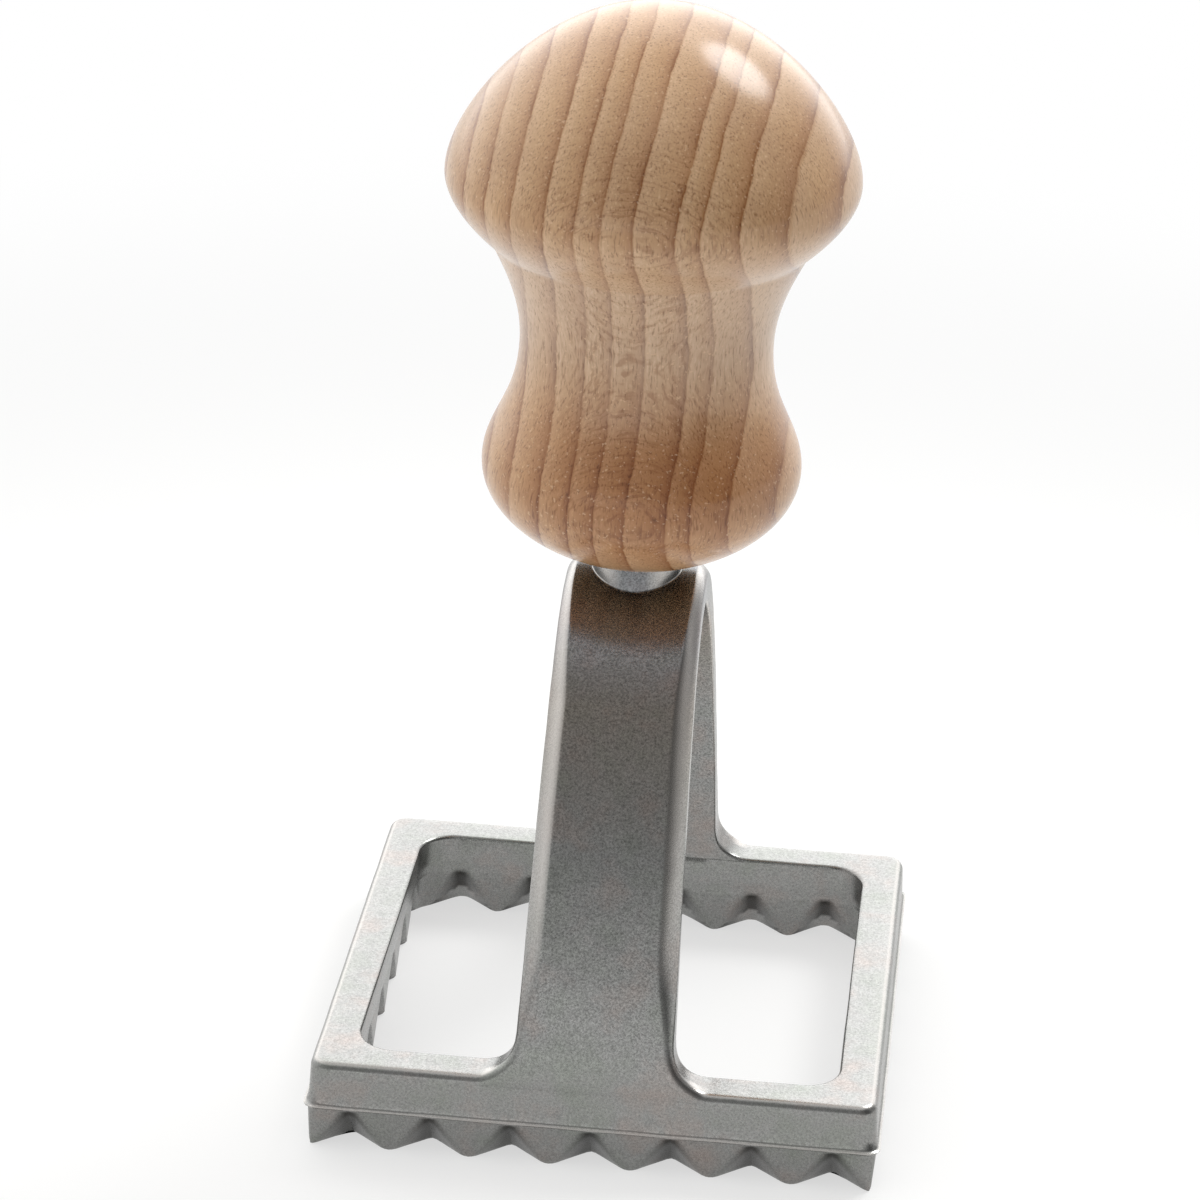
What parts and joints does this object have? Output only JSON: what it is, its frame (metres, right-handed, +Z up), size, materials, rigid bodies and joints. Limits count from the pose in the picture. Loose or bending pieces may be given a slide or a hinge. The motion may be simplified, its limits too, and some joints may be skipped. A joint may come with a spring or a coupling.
{
  "type": "ravioli cutter",
  "caption": "Square hand stamp that cuts and crimps filled pasta: zigzag cutting edge under a cast frame, an arched strap and a turned wooden knob.",
  "frame": {"origin": "centre of the square cutting edge, in the plane of the edge, which is what the tool stands on", "axes": "+Z up the knob's axis, away from the dough; -Y to the front side and +Y to the rear side, which carry the arch's feet; +X to the right"},
  "size_m": [0.0608, 0.0608, 0.1176],
  "materials": {
    "casting_aluminium": "satin die-cast aluminium, lightly tumbled, bare",
    "knob_beech": "turned beech under a thin satin lacquer",
    "screw_steel": "zinc-plated steel"
  },
  "bodies": {
    "root": {"cutter_casting": "casting_aluminium", "wooden_knob": "knob_beech", "knob_screw": "screw_steel"}
  },
  "joints": []
}
